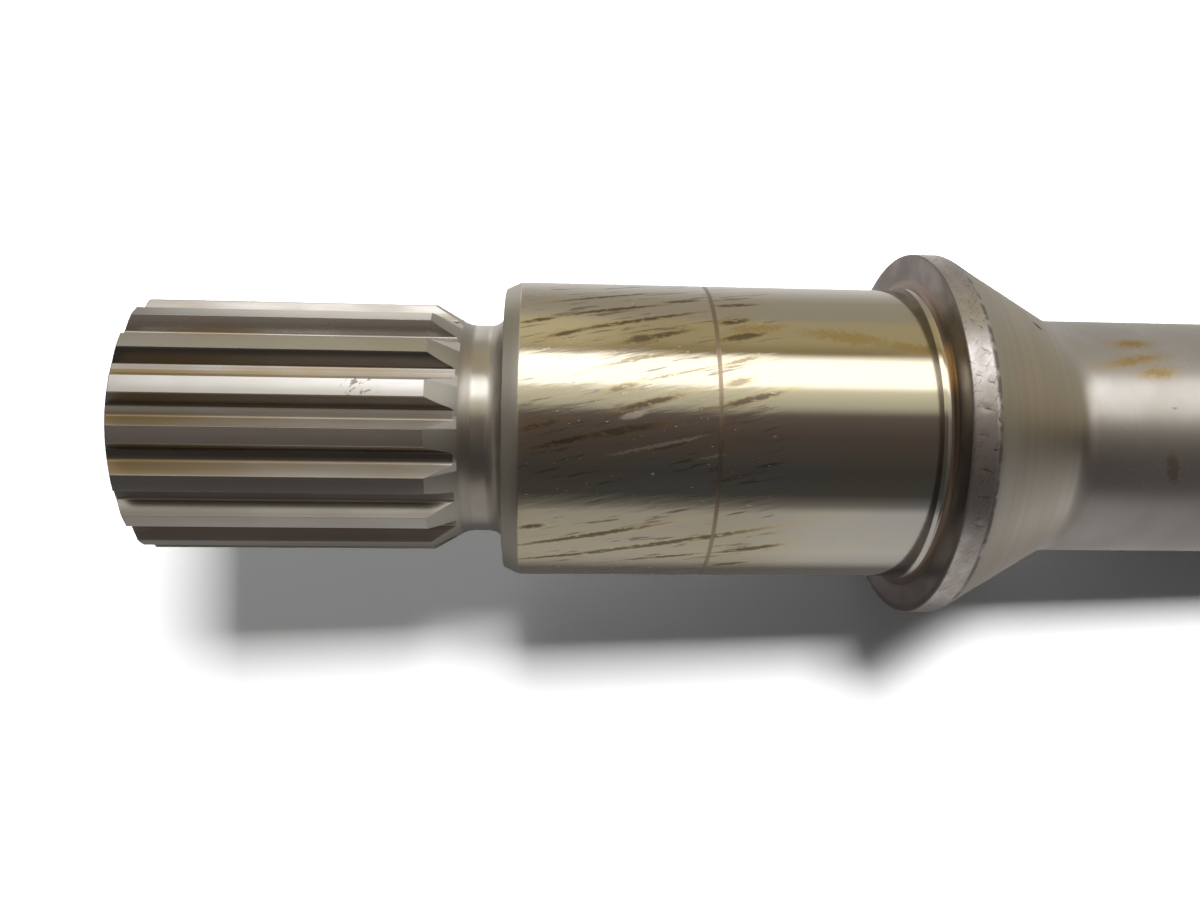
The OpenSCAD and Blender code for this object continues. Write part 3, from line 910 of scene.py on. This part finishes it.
def sheetOfPaper(name, wide, inViewWhite, matrix):
    bm = bmesh.new()
    bmesh.ops.create_grid(bm, x_segments=1, y_segments=1, size=wide / 2 * mm)
    bmesh.ops.transform(bm, matrix=matrix, verts=bm.verts)
    mesh = bpy.data.meshes.new(name)
    bm.to_mesh(mesh)
    bm.free()
    obj = bpy.data.objects.new(name, mesh)
    scene.collection.objects.link(obj)
    obj.data.materials.append(paperFinish(name + "Paper", inViewWhite))
    keepFrom(obj, "diffuse", "glossy", "transmission", "volume_scatter", "shadow")


def bandRamp(tree, share, bands, strength):
    node = put(tree, "ValToRGB", {0: share})
    ramp = node.color_ramp
    for k, (at, colour) in enumerate(bands):
        stop = ramp.elements[0] if k == 0 else ramp.elements.new((at + 180) / 360)
        stop.position = (at + 180) / 360
        stop.color = (*[c / strength for c in colour], 1)
    ramp.elements.remove(ramp.elements[-1])
    return node.outputs["Color"]


def makeTent(cfg):
    # long closed tube round the shaft, seen only as a reflection
    bm = bmesh.new()
    radius = cfg["tentR"] * mm
    bmesh.ops.create_cone(bm, cap_ends=True, segments=cfg["tentSides"], radius1=radius, radius2=radius,
                          depth=cfg["tentL"] * mm)
    mesh = bpy.data.meshes.new("reflectionTent")
    bm.to_mesh(mesh)
    bm.free()
    tent = bpy.data.objects.new("reflectionTent", mesh)
    scene.collection.objects.link(tent)
    mat = bpy.data.materials.new("tentCloth")
    mat.use_nodes = True
    tree = mat.node_tree
    tree.nodes.clear()
    look = {"tree": tree}
    place = put(tree, "TexCoord").outputs["Object"]
    sockets = {"Vector": place, "Angle": -facing}
    turned = put(tree, "VectorRotate", sockets, rotation_type="Z_AXIS").outputs[0]
    x, y, z = put(tree, "SeparateXYZ", {0: turned}).outputs
    down = calc(look, "ARCTAN2", times(look, y, -1.0), x)
    share = put(tree, "MapRange", {"Value": down, "From Min": -math.pi, "From Max": math.pi}).outputs[0]
    strength = cfg["tentStrength"]
    colour = bandRamp(tree, share, tentBands["start"], strength)
    for name, (low, high) in cfg["reach"].items():
        reached = softStep(look, z, low * mm, high * mm)
        colour = mixIn(look, reached, colour, bandRamp(tree, share, tentBands[name], strength))
    dark = softStep(look, z, cfg["dark"][0] * mm, cfg["dark"][1] * mm)
    colour = mixIn(look, dark, colour, [c / strength for c in cfg["tentEnd"]])
    # it lights no paper by way of the steel, so the contact shadow stays dark
    direct = calc(look, "LESS_THAN", put(tree, "LightPath").outputs["Diffuse Depth"], 0.5)
    glow = put(tree, "Emission", {"Color": colour, "Strength": times(look, direct, strength)})
    put(tree, "OutputMaterial", {"Surface": glow.outputs[0]})
    tent.data.materials.append(mat)
    keepFrom(tent, "camera", "diffuse", "transmission", "volume_scatter", "shadow")


def makeRoom(cfg):
    # dim room, white where the camera or a reflection looks at it
    world = bpy.data.worlds.new("room")
    scene.world = world
    world.use_nodes = True
    tree = world.node_tree
    tree.nodes.clear()
    look = {"tree": tree}
    ray = put(tree, "LightPath").outputs
    seen = calc(look, "MAXIMUM", ray["Is Camera Ray"], ray["Is Glossy Ray"])
    seen = calc(look, "MAXIMUM", seen, ray["Is Transmission Ray"])
    dim = put(tree, "Background", {"Color": (*cfg["room"], 1)}).outputs[0]
    white = put(tree, "Background", {"Color": (*cfg["white"], 1)}).outputs[0]
    mix = put(tree, "MixShader", {0: seen, 1: dim, 2: white}).outputs[0]
    put(tree, "OutputWorld", {"Surface": mix})
    # only what a ray meets, so the tent hides the room from the steel
    world.cycles.sampling_method = "NONE"


def makeLamp(name, cfg):
    data = bpy.data.lights.new(name, "AREA")
    data.shape = "RECTANGLE"
    data.size, data.size_y = cfg["wide"] * mm, cfg["long"] * mm
    data.energy = cfg["power"]
    lamp = bpy.data.objects.new(name, data)
    scene.collection.objects.link(lamp)
    place = roundAxis(cfg["angle"], cfg["far"], cfg["z"])
    aim = Vector((0, 0, studio["lampAim"] * size["endZ"])) * mm - place
    lamp.matrix_world = Matrix.Translation(place) @ aim.to_track_quat("-Z", "Y").to_matrix().to_4x4()
    keepFrom(lamp, "camera", "glossy")


# the photographed shaft lies on its collar and its tail, so the backdrop leans on both
toCamera = roundAxis(0, 1 / mm)
lean = (size["collarR"] - size["neckR"]) / (size["collarZ"] - shaftSizes["tailCh"])
upSheet = (Vector((0, 0, 1)) - toCamera * lean).normalized()
sideways = upSheet.cross(toCamera).normalized()
foot = roundAxis(180, size["neckR"] + studio["sheetGap"] - lean * shaftSizes["tailCh"])
sheetTurn = Matrix((sideways, upSheet, sideways.cross(upSheet))).transposed().to_4x4()
sheetAt = Matrix.Translation(foot + upSheet * studio["backdropSize"] / 2 * mm) @ sheetTurn
sheetOfPaper("backdrop", studio["backdropSize"], studio["backdropInView"], sheetAt)
floorAt = Matrix.Translation((0, 0, -studio["floorDrop"] * mm))
sheetOfPaper("floor", studio["floorSize"], studio["floorInView"], floorAt)
makeTent(studio)
makeRoom(studio)
for name, cfg in studio["lamps"].items():
    makeLamp(name, cfg)
print("studio set")
